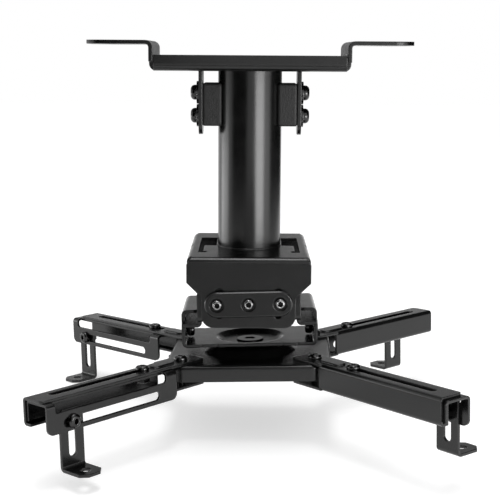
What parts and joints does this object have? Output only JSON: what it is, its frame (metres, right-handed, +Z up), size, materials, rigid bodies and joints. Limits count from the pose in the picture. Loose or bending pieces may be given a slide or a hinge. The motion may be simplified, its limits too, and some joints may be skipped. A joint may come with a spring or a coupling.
{
  "type": "projector ceiling mount",
  "caption": "Black steel projector ceiling mount: winged ceiling plate, round drop pole, roll and pitch joints, swivelling hub, and spread slotted arms with sliding feet.",
  "frame": {"origin": "on the pole axis at the ceiling face, the tops of the two wings", "axes": "+Z up to the ceiling, -Y towards the viewer's front, +X to the viewer's right"},
  "size_m": [0.3397, 0.3229, 0.3102],
  "materials": {
    "black_powder_coat": "fine satin black powder coat",
    "black_fastener": "black oxide",
    "black_plastic": "textured moulded black"
  },
  "bodies": {
    "ceiling_base": {"ceiling_plate": "black_powder_coat", "pole_lug_left": "black_powder_coat", "pole_lug_right": "black_powder_coat", "spacer_left": "black_plastic", "spacer_right": "black_plastic", "pole": "black_powder_coat", "pole_bolts": "black_fastener", "pole_washers": "black_fastener", "pole_nuts": "black_fastener", "yoke": "black_powder_coat"},
    "roll_head": {"tilt_frame": "black_powder_coat", "roll_cover_front": "black_powder_coat", "roll_cover_rear": "black_powder_coat", "roll_screws": "black_fastener", "roll_nuts": "black_fastener"},
    "tilt_head": {"tilt_bracket": "black_powder_coat", "pitch_bolts": "black_fastener", "pitch_nuts": "black_fastener", "swivel_bolt": "black_fastener", "swivel_washer": "black_fastener", "swivel_nut": "black_fastener"},
    "swivel_hub": {"hub": "black_powder_coat", "arm_pivot_bolts": "black_fastener", "arm_pivot_nuts": "black_fastener"},
    "arm_front_left": {"arm_front_left": "black_powder_coat"},
    "rail_front_left": {"rail_front_left": "black_powder_coat", "clamp_bolt_front_left": "black_fastener", "clamp_nut_front_left": "black_fastener"},
    "foot_slider_front_left": {"foot_bolt_front_left": "black_fastener", "foot_nut_front_left": "black_fastener"},
    "foot_front_left": {"foot_front_left": "black_powder_coat"},
    "arm_front_right": {"arm_front_right": "black_powder_coat"},
    "rail_front_right": {"rail_front_right": "black_powder_coat", "clamp_bolt_front_right": "black_fastener", "clamp_nut_front_right": "black_fastener"},
    "foot_slider_front_right": {"foot_bolt_front_right": "black_fastener", "foot_nut_front_right": "black_fastener"},
    "foot_front_right": {"foot_front_right": "black_powder_coat"},
    "arm_rear_left": {"arm_rear_left": "black_powder_coat"},
    "rail_rear_left": {"rail_rear_left": "black_powder_coat", "clamp_bolt_rear_left": "black_fastener", "clamp_nut_rear_left": "black_fastener"},
    "foot_slider_rear_left": {"foot_bolt_rear_left": "black_fastener", "foot_nut_rear_left": "black_fastener"},
    "foot_rear_left": {"foot_rear_left": "black_powder_coat"},
    "arm_rear_right": {"arm_rear_right": "black_powder_coat"},
    "rail_rear_right": {"rail_rear_right": "black_powder_coat", "clamp_bolt_rear_right": "black_fastener", "clamp_nut_rear_right": "black_fastener"},
    "foot_slider_rear_right": {"foot_bolt_rear_right": "black_fastener", "foot_nut_rear_right": "black_fastener"},
    "foot_rear_right": {"foot_rear_right": "black_powder_coat"}
  },
  "joints": [
    {"name": "roll", "type": "hinge", "parent": "ceiling_base", "child": "roll_head", "pos_m": [0, 0, -0.1962], "axis": [0, 1, 0], "range_deg": [-13.3, 16.7]},
    {"name": "pitch", "type": "hinge", "parent": "roll_head", "child": "tilt_head", "pos_m": [0.00101, 0, -0.23028], "axis": [0.9996, 0, 0.0297], "range_deg": [-8.5, 11.5]},
    {"name": "swivel", "type": "hinge", "parent": "tilt_head", "child": "swivel_hub", "pos_m": [0.00152, -0.00045, -0.24747], "axis": [-0.0297, 0.0262, 0.9992], "continuous": true},
    {"name": "arm_swing_front_left", "type": "hinge", "parent": "swivel_hub", "child": "arm_front_left", "pos_m": [-0.053, -0.04151, -0.24801], "axis": [-0.0297, 0.0262, 0.9992], "range_deg": [-35, 25]},
    {"name": "extension_front_left", "type": "slide", "parent": "arm_front_left", "child": "rail_front_left", "axis": [-0.6771, -0.7358, -0.0008], "range_m": [0, 0.084]},
    {"name": "foot_shift_front_left", "type": "slide", "parent": "rail_front_left", "child": "foot_slider_front_left", "axis": [-0.6771, -0.7358, -0.0008], "range_m": [-0.0786, 0.0051]},
    {"name": "foot_height_front_left", "type": "slide", "parent": "foot_slider_front_left", "child": "foot_front_left", "axis": [-0.0297, 0.0262, 0.9992], "range_m": [-0.003, 0.022]},
    {"name": "arm_swing_front_right", "type": "hinge", "parent": "swivel_hub", "child": "arm_front_right", "pos_m": [0.05204, -0.04628, -0.24477], "axis": [-0.0297, 0.0262, 0.9992], "range_deg": [-25.1, 34.9]},
    {"name": "extension_front_right", "type": "slide", "parent": "arm_front_right", "child": "rail_front_right", "axis": [0.6079, -0.7931, 0.0388], "range_m": [-0.004, 0.08]},
    {"name": "foot_shift_front_right", "type": "slide", "parent": "rail_front_right", "child": "foot_slider_front_right", "axis": [0.6079, -0.7931, 0.0388], "range_m": [-0.0837, 0]},
    {"name": "foot_height_front_right", "type": "slide", "parent": "foot_slider_front_right", "child": "foot_front_right", "axis": [-0.0297, 0.0262, 0.9992], "range_m": [-0.0087, 0.0163]},
    {"name": "arm_swing_rear_left", "type": "hinge", "parent": "swivel_hub", "child": "arm_rear_left", "pos_m": [-0.04899, 0.04537, -0.25017], "axis": [-0.0297, 0.0262, 0.9992], "range_deg": [-33, 27]},
    {"name": "extension_rear_left", "type": "slide", "parent": "arm_rear_left", "child": "rail_rear_left", "axis": [-0.7112, 0.7019, -0.0395], "range_m": [-0.008, 0.076]},
    {"name": "foot_shift_rear_left", "type": "slide", "parent": "rail_rear_left", "child": "foot_slider_rear_left", "axis": [-0.7112, 0.7019, -0.0395], "range_m": [-0.0833, 0.0004]},
    {"name": "foot_height_rear_left", "type": "slide", "parent": "foot_slider_rear_left", "child": "foot_rear_left", "axis": [-0.0297, 0.0262, 0.9992], "range_m": [0, 0.025]},
    {"name": "arm_swing_rear_right", "type": "hinge", "parent": "swivel_hub", "child": "arm_rear_right", "pos_m": [0.05605, 0.04061, -0.24693], "axis": [-0.0297, 0.0262, 0.9992], "range_deg": [-29, 31]},
    {"name": "extension_rear_right", "type": "slide", "parent": "arm_rear_right", "child": "rail_rear_right", "axis": [0.7503, 0.6611, 0.0049], "range_m": [0, 0.084]},
    {"name": "foot_shift_rear_right", "type": "slide", "parent": "rail_rear_right", "child": "foot_slider_rear_right", "axis": [0.7503, 0.6611, 0.0049], "range_m": [-0.0736, 0.0101]},
    {"name": "foot_height_rear_right", "type": "slide", "parent": "foot_slider_rear_right", "child": "foot_rear_right", "axis": [-0.0297, 0.0262, 0.9992], "range_m": [-0.003, 0.022]}
  ]
}
